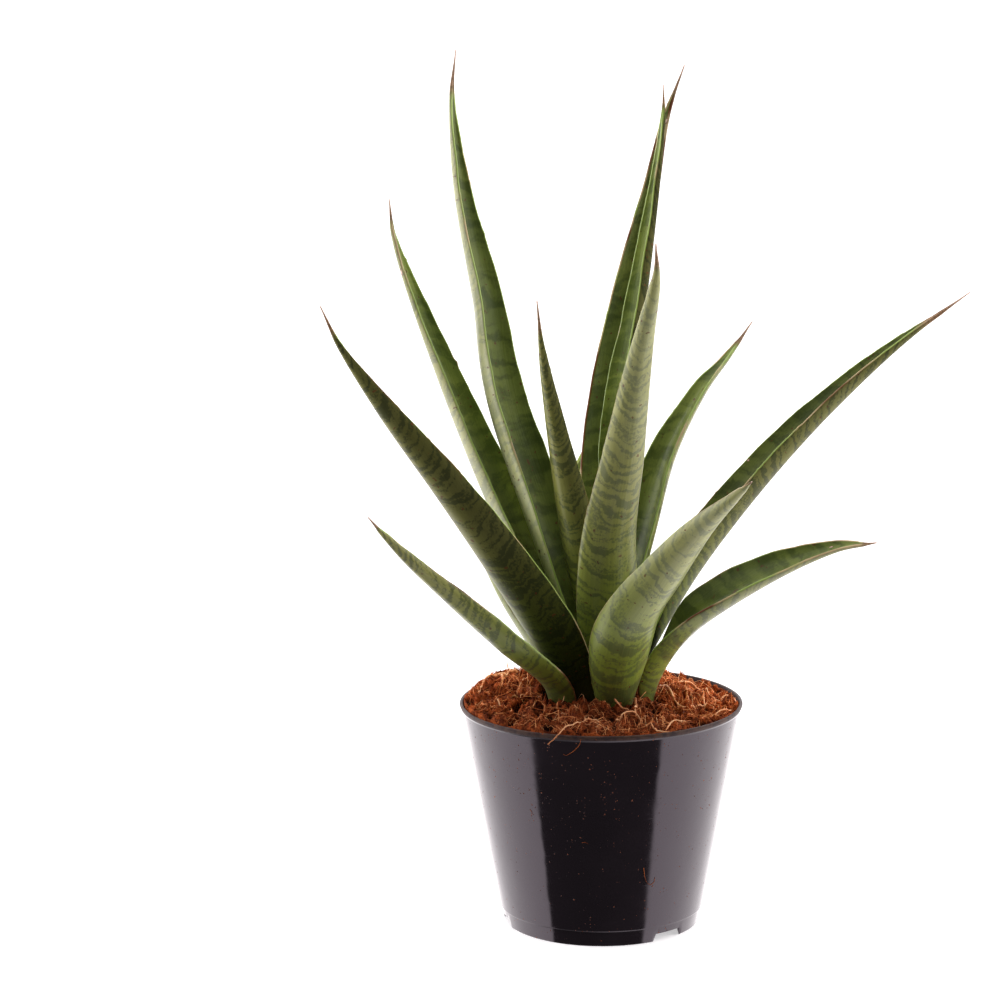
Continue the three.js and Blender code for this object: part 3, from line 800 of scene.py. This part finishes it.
def turned(profile, steps):
    """A solid turned about the Z axis from a closed profile of radius and height, in millimetres."""
    bm = bmesh.new()
    verts = [bm.verts.new((r * MM, 0, z * MM)) for r, z in profile]
    edges = [bm.edges.new(pair) for pair in zip(verts, verts[1:])]
    bmesh.ops.spin(bm, geom=verts + edges, cent=(0, 0, 0), axis=(0, 0, 1), angle=2 * math.pi, steps=steps,
                   use_merge=True, use_duplicate=False)
    bmesh.ops.remove_doubles(bm, verts=bm.verts, dist=WELD)
    bmesh.ops.recalc_face_normals(bm, faces=bm.faces)
    return bm


def make_soil():
    bottom = FLOOR_UNDERSIDE + FLOOR_THICKNESS + 0.3
    lip_foot = POT_HEIGHT - LIP_HEIGHT - 0.5
    outer = wall_radius(lip_foot) - LIP_OUT - WALL + 0.2
    profile = [(0, bottom), (wall_radius(bottom) - WALL - 0.6, bottom), (outer - 0.8, lip_foot - 4)]
    profile += [(outer * (1 - k / SOIL_ROWS), SOIL_EDGE) for k in range(SOIL_ROWS + 1)]
    bm = turned(profile, SOIL_STEPS)
    relief = bm.verts.layers.float.new("relief_m")
    for vert in bm.verts:
        if vert.co.z > (SOIL_EDGE - 0.01) * MM:
            x, y = vert.co.x / MM, vert.co.y / MM
            dressed = soil_relief(x, y)
            vert.co.z = (soil_form(x, y) + dressed) * MM
            vert[relief] = dressed * MM
    smooth_faces(bm)
    return finish_piece("coir_filling", bm, SOIL, "coir_soil", "soil")


def strewn_place(rng, reach):
    """A place drawn evenly from a disc."""
    away, angle = reach * math.sqrt(rng.random()), rng.uniform(0, 2 * math.pi)
    return away * math.cos(angle), away * math.sin(angle)


def make_crumbs(seed, batches, count):
    """Grains of coir, made a batch at a time."""
    rng = random.Random(seed)
    whole = bmesh.new()
    for _ in range(batches):
        bm = bmesh.new()
        for _ in range(count):
            x, y = strewn_place(rng, LOOSE_LIMIT)
            if soil_relief(x, y) < -0.4:
                continue
            size = rng.choice(CRUMB_SIZES) * rng.uniform(0.8, 1.2)
            stretch = Matrix.Diagonal((size * rng.uniform(0.8, 1.8), size, size * rng.uniform(0.5, 0.9), 1))
            turn = Quaternion((rng.uniform(-1, 1), rng.uniform(-1, 1), 1), rng.uniform(0, 6.28))
            place = Matrix.Translation(Vector((x, y, soil_top(x, y) + 0.2 * size)))
            bmesh.ops.create_icosphere(bm, subdivisions=1, radius=0.6, matrix=Matrix.Scale(MM, 4) @ place
                                       @ turn.to_matrix().to_4x4() @ stretch)
        batch = mesh_from("batch", bm)
        whole.from_mesh(batch)
        bpy.data.meshes.remove(batch)
    return finish_piece("coir_crumbs", whole, SOIL, "coir_soil")


def new_strands(name):
    strands = bpy.data.curves.new(name, "CURVE")
    strands.dimensions = "3D"
    strands.bevel_depth = MM
    strands.bevel_resolution = 0
    strands.use_fill_caps = True
    return strands


def add_strand(strands, points, thickness, taper=0.55):
    """One fibre through points in millimetres. Thickness is its radius at the thicker end."""
    spline = strands.splines.new("POLY")
    spline.points.add(len(points) - 1)
    for k, (knot, place) in enumerate(zip(spline.points, points)):
        knot.co = (*(Vector(place) * MM), 1)
        share = k / (len(points) - 1)
        knot.radius = thickness * (1 - taper * share) * (0.75 if k in (0, len(points) - 1) else 1)


def strands_piece(strands, material, slot):
    name = strands.name
    holder = add_object(name, strands)
    bpy.context.view_layer.update()
    mesh = applied_mesh(holder)
    bpy.data.objects.remove(holder)
    bpy.data.curves.remove(strands)
    mesh.name = name
    mesh.shade_smooth()
    return place_piece(name, mesh, material, slot)


LEAF_FEET = [Vector(leaf["path"][1][:2]) for leaf in LEAVES]


def among_leaves(x, y):
    return any((Vector((x, y)) - foot).length < LEAF_CLEARANCE for foot in LEAF_FEET)


def scatter_fibres(name, seed, count, lengths, thickness, lift, material):
    """Curled fibres in patches, strewn over the soil but not into its hollows. All sizes are ranges."""
    rng = random.Random(seed)
    strands = new_strands(name)
    made = 0
    while made < count:
        x, y = strewn_place(rng, LOOSE_REACH)
        patch = noise.noise(Vector((x, y, seed)) / 8) + 0.25 * x / RIM_RADIUS
        if among_leaves(x, y) or soil_relief(x, y) < -0.3 or patch < rng.uniform(-0.7, 0.25):
            continue
        heading, curl = rng.uniform(0, 2 * math.pi), rng.uniform(-0.5, 0.5)
        knots = rng.choice((5, 6, 7))
        step = rng.uniform(*lengths) / (knots - 1)
        rise = rng.uniform(*lift) * (3.0 if rng.random() < 0.12 else 1.0)
        points = []
        for k in range(knots):
            if math.hypot(x, y) > LOOSE_LIMIT:
                break
            arch = rise * math.sin(math.pi * k / (knots - 1))
            points.append((x, y, soil_top(x, y) + 0.1 + arch + rng.uniform(-0.15, 0.25)))
            heading += curl + rng.uniform(-0.35, 0.35)
            x, y = x + step * math.cos(heading), y + step * math.sin(heading)
        if len(points) > 2:
            add_strand(strands, points, rng.uniform(*thickness))
            made += 1
    return strands_piece(strands, material, "coir_soil")


# Loose roots that stand out, each a radius and places: x, y and height over the soil, in millimetres
LOOSE_ROOTS = [
    (0.42, [(-0.8, -42, 0.5), (-4.9, -42.1, 1.0), (-8.4, -45, 1.2), (-11.5, -48.6, 1.4), (-14.2, -54, 1.5),
            (-16.4, -58.2, 1.6), (-19.0, -60.3, -0.8), (-21.6, -59.9, -3.2)]),
    (0.4, [(-7.5, -35.5, 0.6), (-6.2, -38.5, 0.8), (-4.9, -42.1, 0.6)]),
    (0.42, [(6.2, -42, 0.7), (9.5, -39.5, 1.1), (14.5, -37.1, 1.3), (17.8, -38.7, 1.4), (19.5, -44, 1.3),
            (20.9, -48.5, 1.0), (22.9, -53.5, 0.9), (27.8, -54.9, 0.8)]),
    (0.5, [(14.4, -24, 1.0), (14.8, -28, 1.6), (14.2, -33, 1.8), (14.5, -37.7, 1.2)]),
    (0.4, [(26.6, -51.7, 0.8), (29.6, -45, 1.4), (32.9, -43.6, 1.8), (33.4, -38.5, 2.2), (35.8, -42, 1.4)]),
    (0.5, [(25.3, 15.3, 0.8), (28.9, 1.3, 1.6), (31.6, -9.1, 1.6), (35.7, -14.2, 1.4), (43.5, -5.6, 1.4),
           (50.4, -0.4, 1.2), (55.6, 2, 1.2), (57, -5, 0.8)]),
    (0.4, [(33.6, 24.2, 1.0), (38.5, 27.8, 1.8), (41.8, 24.2, 1.8), (44.9, 13.6, 1.4), (48.9, 3.1, 0.8)]),
    (0.4, [(36.2, 4.8, 2.4), (36.5, -2, 2), (37.1, -9.1, 1.0)]),
    (0.4, [(43.4, 6.5, 2.2), (43.6, 1, 2), (44, -3.9, 1.0)]),
    (0.35, [(45.4, -26, 0.8), (51, -22.6, 1.4), (54.6, -15.8, 0.8)]),
    (0.4, [(-37.6, -7.5, 1.0), (-34.5, -5, 1.6), (-31.4, -0.5, 1.2)]),
    (0.3, [(-43.5, -9.2, 1.8), (-42.8, -13, 1.2), (-42.4, -17.7, 0.8)]),
    (0.35, [(-50.2, 26, 1.4), (-51.4, 15, 1.2), (-52, 4.7, 0.8)]),
    (0.35, [(-33.1, 18.8, 1.6), (-34.6, 11, 1.4), (-35.8, 4.7, 0.8)]),
    (0.4, [(5.6, -30.5, 5.5), (8.4, -31.5, 3.6), (11.4, -33, 1.0)]),
    (0.35, [(-11.6, -27, 3.2), (-10.8, -31, 2.2), (-10.4, -35, 0.8)]),
    (0.8, [(-36, 26, 1.2), (-42.3, 27.3, 1.4), (-45.8, 27.3, 2.2), (-48.5, 26.5, 2.4), (-49.6, 22, 1.4)]),
    (0.45, [(-49.4, 27, 0.8), (-46, 29, 2.0), (-43.5, 27, 2.2), (-42.5, 22, 1.4), (-42.3, 14, 0.6)]),
    (0.5, [(-55, 20, 0.7), (-51.6, 25, 1.6), (-49, 27.5, 1.2), (-45, 31, 0.6)]),
]

# Fibres that cling to the outside of the wall, each a radius and places: x and height, in millimetres
WALL_FIBRES = [
    (0.14, [(17.6, 35.5), (18.0, 31.5), (18.9, 28.6), (20.4, 27.3), (21.9, 28.2), (22.3, 30.4)]),
    (0.16, [(-8.2, 94.2), (-8.8, 91.6), (-11.0, 88.8), (-13.9, 86.6), (-15.4, 86.9)]),
    (0.1, [(-29.5, 60.2), (-28.6, 58.8), (-28.9, 57.0)]),
    (0.1, [(-8.0, 47.6), (-6.6, 47.9), (-5.4, 47.2)]),
]


def make_loose_roots():
    """Roots that bridge the clods, each laid over the highest ground in front of it."""
    strands = new_strands("loose_roots")
    for thickness, places in LOOSE_ROOTS:
        points = []
        for x, y, lift in places:
            inside = math.hypot(x, y) < LOOSE_REACH
            points.append((x, y, (soil_top(x, y) if inside else POT_HEIGHT) + lift))
        smoothed = SmoothPath(points)
        count = max(8, int(smoothed.length / ROOT_STEP))
        rng = random.Random(len(places) * 11)
        path = []
        for k in range(count + 1):
            stray = Vector([rng.uniform(-ROOT_STRAY, ROOT_STRAY) for _ in range(3)])
            place = smoothed.at(k / count)[0] + stray
            if place.xy.length < LOOSE_REACH:
                ground = max(soil_top(place.x, place.y - step) for step in (0, 1.2, 2.4, 3.6))
                place.z = max(place.z, ground + 1.1 * thickness)
            path.append(place)
        add_strand(strands, path, thickness, 0.35)
    return strands_piece(strands, ROOT, "coir_soil")


def make_wall_fibres():
    strands = new_strands("wall_fibres")
    for thickness, places in WALL_FIBRES:
        knots = []
        for x, z in places:
            reach = wall_radius(z) - LIP_OUT * z / POT_HEIGHT + thickness + (0.3 if z > 90 else 0)
            knots.append((x, -math.sqrt(reach ** 2 - x ** 2), z))
        path = SmoothPath(knots)
        add_strand(strands, [path.at(k / 14)[0] for k in range(15)], thickness, 0.3)
    return strands_piece(strands, FIBRE, "coir_soil")


def pot_profile():
    """The pot's section, with close rows beside each edge so that the wall keeps straight reflections."""
    floor_top = FLOOR_UNDERSIDE + FLOOR_THICKNESS
    lip_foot = POT_HEIGHT - LIP_HEIGHT
    skirt = [(wall_radius(z) - SKIRT_INSET - WALL, z) for z in (FLOOR_UNDERSIDE, NOTCH_HEIGHT, 0.25)]
    skirt += [(BASE_RADIUS - SKIRT_INSET - WALL + 0.25, 0), (BASE_RADIUS - SKIRT_INSET - 0.25, 0)]
    rows = (0.25, 0.45, NOTCH_HEIGHT, SKIRT_HEIGHT - 0.3, SKIRT_HEIGHT - 0.1)
    skirt += [(wall_radius(z) - SKIRT_INSET, z) for z in rows]
    wall = [(wall_radius(SKIRT_HEIGHT + 0.25) - 0.15, SKIRT_HEIGHT + 0.15)]
    rows = (SKIRT_HEIGHT + 0.5, SKIRT_HEIGHT + 0.75, 20, 40, 60, 80, lip_foot - 1.0, lip_foot - 0.8)
    wall += [(wall_radius(z) - LIP_OUT * z / POT_HEIGHT, z) for z in rows]
    lip = [(wall_radius(lip_foot) - 0.3, lip_foot - 0.5), (wall_radius(lip_foot) - 0.08, lip_foot)]
    lip += [(RIM_RADIUS - 0.02, POT_HEIGHT - 0.8), (RIM_RADIUS, POT_HEIGHT - 0.6)]
    lip += [(RIM_RADIUS - 0.12, POT_HEIGHT - 0.22), (RIM_RADIUS - 0.4, POT_HEIGHT - 0.04)]
    lip += [(RIM_RADIUS - 0.8, POT_HEIGHT), (RIM_RADIUS - 1.2, POT_HEIGHT - 0.1)]
    lip += [(RIM_RADIUS - 1.5, POT_HEIGHT - 0.5)]
    inside = [(wall_radius(z) - LIP_OUT * z / POT_HEIGHT - WALL, z) for z in (lip_foot - 0.6, 60, 30)]
    inside += [(wall_radius(floor_top) - WALL - 0.4, floor_top), (FOOT_RADIUS + 3, floor_top)]
    middle = [(FOOT_RADIUS - 1, FLOOR_THICKNESS), (0, FLOOR_THICKNESS)]
    foot = [(0, 0), (FOOT_RADIUS - 0.2, 0), (FOOT_RADIUS + 0.1, 0.2), (FOOT_RADIUS + 3, FLOOR_UNDERSIDE)]
    return foot + skirt + wall + lip + inside + middle


def make_pot():
    """The turned pot, with its skirt raised at the notches and its floor drilled."""
    bm = turned(pot_profile(), POT_STEPS)
    for i in range(NOTCHES):
        heading = math.radians(NOTCH_FIRST + 360 * i / NOTCHES)
        out = Vector((math.cos(heading), math.sin(heading)))
        across = Vector((-math.sin(heading), math.cos(heading)))
        for vert in bm.verts:
            flat = vert.co.xy / MM
            on_skirt = flat.dot(out) > DRAIN_RING and vert.co.z < NOTCH_HEIGHT * MM
            if on_skirt and abs(flat.dot(across)) < NOTCH_WIDTH / 2:
                vert.co.z = NOTCH_HEIGHT * MM
    bmesh.ops.dissolve_degenerate(bm, edges=bm.edges, dist=WELD)
    holes = bmesh.new()
    for i in range(DRAIN_HOLES):
        angle = (i + 0.5) / DRAIN_HOLES * 2 * math.pi
        place = Vector((DRAIN_RING * math.cos(angle), DRAIN_RING * math.sin(angle), FLOOR_UNDERSIDE)) * MM
        bmesh.ops.create_cone(holes, cap_ends=True, segments=DRAIN_SIDES, radius1=DRAIN_RADIUS * MM,
                              radius2=DRAIN_RADIUS * MM, depth=DRAIN_DEPTH * MM,
                              matrix=Matrix.Translation(place))
    body = add_object("pot_body", mesh_from("pot_body", bm))
    drill = add_object("drain_holes", mesh_from("drain_holes", holes))
    cut = body.modifiers.new("drain", "BOOLEAN")
    cut.operation, cut.object, cut.solver = "DIFFERENCE", drill, "EXACT"
    drained = applied_mesh(body)
    bpy.data.objects.remove(body)
    bpy.data.objects.remove(drill)
    bm = bmesh.new()
    bm.from_mesh(drained)
    smooth_faces(bm)
    for edge in bm.edges:
        edge.smooth = len(edge.link_faces) == 2 and edge.calc_face_angle() < SOFT_ANGLE
    return finish_piece("nursery_pot", bm, POT, "pot_plastic", "pot")


for number, leaf in enumerate(LEAVES):
    make_leaf(number, leaf)
make_pot()
make_soil()
make_crumbs(seed=3, batches=40, count=100)
scatter_fibres("fine_fibres", seed=11, count=2000, lengths=(4, 13), thickness=(0.06, 0.12), lift=(0.2, 1.3),
               material=FIBRE)
scatter_fibres("coarse_fibres", seed=12, count=520, lengths=(5, 17), thickness=(0.11, 0.22), lift=(0.3, 1.8),
               material=STRAND)
scatter_fibres("pale_fibres", seed=13, count=80, lengths=(5, 16), thickness=(0.09, 0.18), lift=(0.4, 1.8),
               material=ROOT)
make_loose_roots()
make_wall_fibres()

# The crown keeps its solid, under the soil
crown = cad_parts["crown_and_roots"]
crown.data.materials.clear()
crown.data.materials.append(RHIZOME)

# Studio: a pale floor in a bright tent that is open, and so dark, towards the front of the plant.
# Angles are azimuths from the front, and each side is its first angle, its last angle and its level.
DARK_LEFT = math.radians(-64)
DARK_RIGHT = math.radians(55)
TENT_LEVEL = 2.5
OPEN_LEVEL = 0.1
ROOF_LEVEL = 1.3
SIDE_LEFT = (math.radians(-124), math.radians(-82), 4.4)
SIDE_RIGHT = (math.radians(78), math.radians(120), 3.6)
BACKDROP_LEVEL = 1.5
UNDER_LEFT = 0.5
UNDER_RIGHT = 1.9
TENT_TINT = (1.0, 0.955, 0.97, 1.0)
WHITE = (1.0, 1.0, 1.0, 1.0)
FLOOR_SIZE = 20


def make_tent():
    world = bpy.data.worlds.new("light_tent")
    bpy.context.scene.world = world
    world.use_nodes = True
    tree = world.node_tree
    tree.nodes.clear()
    heading = split(tree, wire(tree, "ShaderNodeTexCoord").outputs["Generated"])
    azimuth = calc(tree, "ARCTAN2", heading["X"], times(tree, heading["Y"], -1.0))
    left = ramp(tree, azimuth, DARK_LEFT - 0.03, DARK_LEFT + 0.03)
    right = ramp(tree, azimuth, DARK_RIGHT - 0.04, DARK_RIGHT + 0.04, 1.0, 0.0)
    opening = times(tree, left, right)
    behind = ramp(tree, heading["Y"], 0.5, 0.65)
    rays = wire(tree, "ShaderNodeLightPath").outputs
    soft = mix(tree, behind, grey(TENT_LEVEL), grey(BACKDROP_LEVEL))
    for start, end, strength in (SIDE_LEFT, SIDE_RIGHT):
        sector = times(tree, ramp(tree, azimuth, start - 0.06, start + 0.06),
                       ramp(tree, azimuth, end - 0.06, end + 0.06, 1.0, 0.0))
        soft = mix(tree, sector, soft, grey(strength))
    around = mix(tree, rays["Is Glossy Ray"], soft, grey(TENT_LEVEL))
    level = mix(tree, opening, around, grey(OPEN_LEVEL))
    under = mix(tree, ramp(tree, heading["X"], -0.4, 0.4), grey(UNDER_LEFT), grey(UNDER_RIGHT))
    level = mix(tree, ramp(tree, heading["Z"], -0.82, -0.68, 1.0, 0.0), level, under)
    level = mix(tree, ramp(tree, heading["Z"], 0.55, 0.85), level, grey(ROOF_LEVEL))
    level = mix(tree, 1.0, level, TENT_TINT, "MULTIPLY")
    colour = mix(tree, rays["Is Camera Ray"], level, WHITE)
    glow = wire(tree, "ShaderNodeBackground", {"Color": colour})
    tree.links.new(glow.outputs[0], wire(tree, "ShaderNodeOutputWorld").inputs[0])


def make_floor():
    bm = bmesh.new()
    bmesh.ops.create_grid(bm, x_segments=1, y_segments=1, size=FLOOR_SIZE)
    floor = add_object("studio_floor", mesh_from("studio_floor", bm))
    material, tree, shader = new_material("pale_floor")
    shader["Base Color"].default_value = grey(0.82)
    shader["Roughness"].default_value = 0.9
    shader["Specular IOR Level"].default_value = 0.0
    shader["Emission Color"].default_value = WHITE
    shader["Emission Strength"].default_value = 0.5
    floor.data.materials.append(material)
    floor.visible_diffuse = False
    floor.visible_glossy = False


# Camera: the photograph's view, from a fit to the pot's rim, wall and base
CAMERA_PLACE = Vector((0, -1.4, 0.4494))
CAMERA_YAW = math.radians(1.730)
CAMERA_PITCH = math.radians(10.806)
CAMERA_ROLL = math.radians(-0.402)
CAMERA_LENS = 122.19
CAMERA_SENSOR = 36
CAMERA_SIGHT = 60


def make_camera():
    ahead = Vector((-math.sin(CAMERA_YAW) * math.cos(CAMERA_PITCH),
                    math.cos(CAMERA_YAW) * math.cos(CAMERA_PITCH), -math.sin(CAMERA_PITCH)))
    level = Vector((math.cos(CAMERA_YAW), math.sin(CAMERA_YAW), 0))
    upright = level.cross(ahead)
    right = math.cos(CAMERA_ROLL) * level + math.sin(CAMERA_ROLL) * upright
    up = -math.sin(CAMERA_ROLL) * level + math.cos(CAMERA_ROLL) * upright
    camera = add_object("photo_view", bpy.data.cameras.new("photo_view"))
    camera.data.lens = CAMERA_LENS
    camera.data.sensor_width = CAMERA_SENSOR
    camera.data.clip_end = CAMERA_SIGHT
    turn = Matrix((right, up, -ahead)).transposed().to_4x4()
    camera.matrix_world = Matrix.Translation(CAMERA_PLACE) @ turn
    bpy.context.scene.camera = camera


make_tent()
make_floor()
make_camera()
bpy.context.scene.view_settings.view_transform = "Standard"
